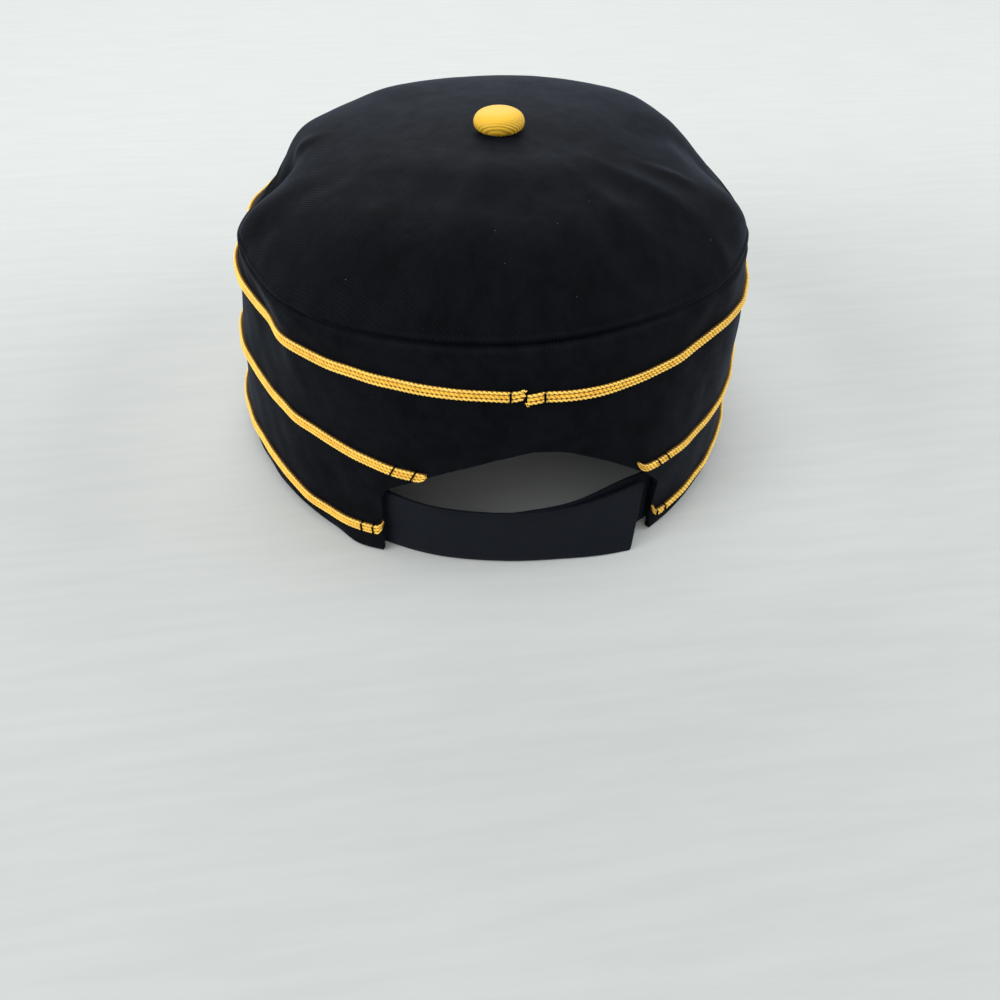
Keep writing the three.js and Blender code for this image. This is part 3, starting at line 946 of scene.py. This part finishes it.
def webbingPiece(name, run, bottom, node, tuck=0.0):
    run = np.array(run, float)
    lowEdge = atTurn(run[:, 0], run[:, 1], np.full(len(run), bottom))
    highEdge = atTurn(run[:, 2], run[:, 3], np.full(len(run), bottom + strap["width"]))

    def place(u, v):
        low, high = alongCurve(lowEdge, u), alongCurve(highEdge, u)
        under = (u - strap["tuckStart"]) / (strap["tuckEnd"] - strap["tuckStart"])
        high[:, 2] -= tuck * np.clip(under, 0, 1) ** 2
        points = low + (high - low) * v[:, None]
        outside = unit(points * (1, 1, 0))
        depth, share = strap["edgeBow"]
        bow = -depth * bell(v, share) - depth * bell(1 - v, share)
        points = points + outside * bow[:, None]
        return points, np.stack([u * strap["weaveLength"], v * strap["width"]], axis=-1)

    shape, mesh = sheetMesh(name, strap["columns"], strap["rows"], place)
    faceOutwards(shape, Vector((crownMiddle[0], crownMiddle[1], 0.012)))
    shape.to_mesh(mesh)
    shape.free()
    piece = keepPiece(name, mesh, [webbing], [node])
    thicken(piece, strap["thickness"], strap["edgeRound"])


webbingPiece("strap_webbing", strap["run"], strap["bottom"], "strap")
webbingPiece("strap_tab_webbing", strap["tabRun"], strap["tabBottom"], "strap_tab", strap["tabTuck"])
print("strap ready")

peak = {
    # turn from the front, reach past the rim and height of the outer edge
    "edge": [(0, 66, 17), (18, 62, 15), (36, 48, 9), (52, 27, 3.7), (66, 10, 3.7), (80, 1.5, 4.6)],
    "thickness": 3.1,
    "columns": 200,
    "rows": 60,
    "underRim": 2,
    "gap": 0.35,
    "edgeRound": 1.2,
    # rows of stitching, the depth and width of their grooves, and where along the edge they run
    "stitchRows": 6,
    "stitchGroove": (0.25, 0.7),
    "stitchRun": (0.12, 0.88),
    "stitchPoints": 500,
    "stitches": {"pitch": 3.2, "length": 2.6, "thick": 0.22, "lift": 0.05},
}
peakEdge = [(-away, beyond, height) for away, beyond, height in peak["edge"][:0:-1]] + peak["edge"]


def peakSpan(u):
    edge = alongCurve(peakEdge, u)
    turn = 180 + edge[:, 0]
    rim = clothPoint(turn, np.zeros(len(turn)))
    inside = rim - outwards(turn, np.zeros(len(turn)), clothPoint) * peak["underRim"]
    reach = np.hypot(rim[:, 0], rim[:, 1])
    root = np.minimum(rim[:, 2], inside[:, 2]) - peak["gap"]
    return turn, reach, root, edge


def peakPlace(u, v):
    turn, reach, root, edge = peakSpan(u)
    width = edge[:, 1] + peak["underRim"]
    beyond = reach - peak["underRim"] + width * v
    height = root + (edge[:, 2] - root) * v
    rows = np.abs(np.mod(v * peak["stitchRows"] + 0.5, 1) - 0.5) / peak["stitchRows"] * width
    depth, groove = peak["stitchGroove"]
    # the grooves fade where the peak narrows, and both long edges stay plain
    sink = depth * bell(rows, groove) * np.clip(width / 20 - 0.3, 0, 1) * (v > 0.1) * (v < 0.97)
    points = atTurn(turn, beyond, height - sink)
    return points, points[:, :2].copy()


shape, mesh = sheetMesh("peak_cloth", peak["columns"], peak["rows"], peakPlace)
faceOutwards(shape, Vector((crownMiddle[0], -0.06, -0.5)))  # away from a point far below
shape.to_mesh(mesh)
shape.free()
peakPiece = keepPiece("peak_cloth", mesh, [bandTwillPaintedLighter], ["peak"])
thicken(peakPiece, peak["thickness"], peak["edgeRound"], 4)


def peakLine(v):
    share = np.linspace(*peak["stitchRun"], peak["stitchPoints"])
    points, _ = peakPlace(share, np.full(len(share), v))
    return ClothLine(points, np.tile([0.0, 0.0, 1.0], (len(share), 1)))


peakLines = [peakLine(i / peak["stitchRows"]) for i in range(1, peak["stitchRows"])]
stitchPiece("peak_stitches", peakLines, peak["stitches"])
print("peak ready")

stage = {
    "floor": (0.53, 0.535, 0.512),
    "streaks": (1.1, 1.09, 1.08),
    "streakScale": (6, 60, 1),
    # the board's tone, with painted shade darkening it towards the camera and painted light making it paler
    # close to the cap, where the cap's shadow falls
    "tone": 0.9,
    "paintedShade": 0.15,
    "paintedLight": 0.16,
    "floorSize": 6.0,
    "room": (0.93, 0.97, 1, 1),
    "roomLight": 0.92,
}
shape = bmesh.new()
bmesh.ops.create_grid(shape, x_segments=1, y_segments=1, size=stage["floorSize"] / 2)
mesh = bpy.data.meshes.new("table_top")
shape.to_mesh(mesh)
shape.free()
floor = bpy.data.objects.new("table_top", mesh)
bpy.context.scene.collection.objects.link(floor)
floorFinish = Finish("pale_board", {"Roughness": 0.7, "Specular IOR Level": 0.3})
streaks = floorFinish.noise(floorFinish.coordinates("Object", stage["streakScale"]), 3.0, 5, 0.6)
away = floorFinish.add("ShaderNodeVectorMath", {"operation": "DISTANCE"}, {
    0: floorFinish.coordinates("Object"), 1: tuple(crownMiddle)}, "Value")
_, nearer, _ = floorFinish.parts(floorFinish.coordinates("Object"))
# painted shade towards the camera and painted light round the cap, both in the board's colour
paintedShade, paintedLight = nearer.between(-0.3, 0.2), 1 - away.between(0.09, 0.18)
tone = stage["tone"] - paintedShade * stage["paintedShade"] + paintedLight * stage["paintedLight"]
board = floorFinish.mix(tone, (0, 0, 0), stage["floor"])
streaked = floorFinish.mix(streaks.between(0.3, 0.7) * 0.5, board, stage["streaks"], "MULTIPLY")
floorFinish.feed("Base Color", streaked)
mesh.materials.append(floorFinish.material)

world = bpy.data.worlds.new("soft_room")
bpy.context.scene.world = world
world.use_nodes = True
room = world.node_tree.nodes["Background"]
room.inputs["Color"].default_value = stage["room"]
room.inputs["Strength"].default_value = stage["roomLight"]

lights = {
    # place, aim, size, watts, colour
    "far_window": ((0.1, -1.6, 1.3), (0, 0, 0.05), 1.6, 13, (0.95, 0.98, 1)),
    "overhead": ((0.2, 0.0, 1.7), (0, 0, 0.05), 1.4, 8, (1, 1, 1)),
    "left_side": ((1.5, 0.6, 0.9), (0, 0, 0.05), 0.9, 17, (0.92, 0.96, 1)),
    "right_side": ((-1.5, 0.1, 1.0), (0, 0, 0.05), 0.9, 12, (0.85, 0.93, 1)),
    "near_fill": ((0.1, 1.7, 1.3), (0, 0.1, 0.03), 1.4, 2.5, (1, 0.99, 0.96)),
}
for name, (place, aim, size, watts, colour) in lights.items():
    data = bpy.data.lights.new(name, "AREA")
    data.size = size
    data.energy = watts
    data.color = colour
    lamp = bpy.data.objects.new(name, data)
    lamp.location = place
    lamp.rotation_euler = (Vector(aim) - Vector(place)).to_track_quat("-Z", "Y").to_euler()
    bpy.context.scene.collection.objects.link(lamp)

# away is from under the button, in metres, and the angles are in degrees
view = {"away": (0.034717, 0.274816, 0.212), "heading": 7.4, "down": 45, "roll": 0.3, "lens": 29.09}
heading, down, roll = (math.radians(view[key]) for key in ("heading", "down", "roll"))
level = Vector((-math.sin(heading), -math.cos(heading), 0)) * math.cos(down)
ahead = level - Vector((0, 0, math.sin(down)))
side = ahead.cross(Vector((0, 0, 1))).normalized()
upright = side.cross(ahead)
sideRolled = math.cos(roll) * side + math.sin(roll) * upright
upRolled = math.cos(roll) * upright - math.sin(roll) * side
lensData = bpy.data.cameras.new("camera")
lensData.lens = view["lens"]
lensData.sensor_width = 36
lensData.clip_start = 0.01
camera = bpy.data.objects.new("camera", lensData)
camera.matrix_world = (Matrix.Translation(Vector(crownMiddle) + Vector(view["away"]))
                       @ Matrix((sideRolled, upRolled, -ahead)).transposed().to_4x4())
bpy.context.scene.collection.objects.link(camera)
bpy.context.scene.camera = camera
bpy.context.scene.view_settings.view_transform = "Standard"
print("stage ready")
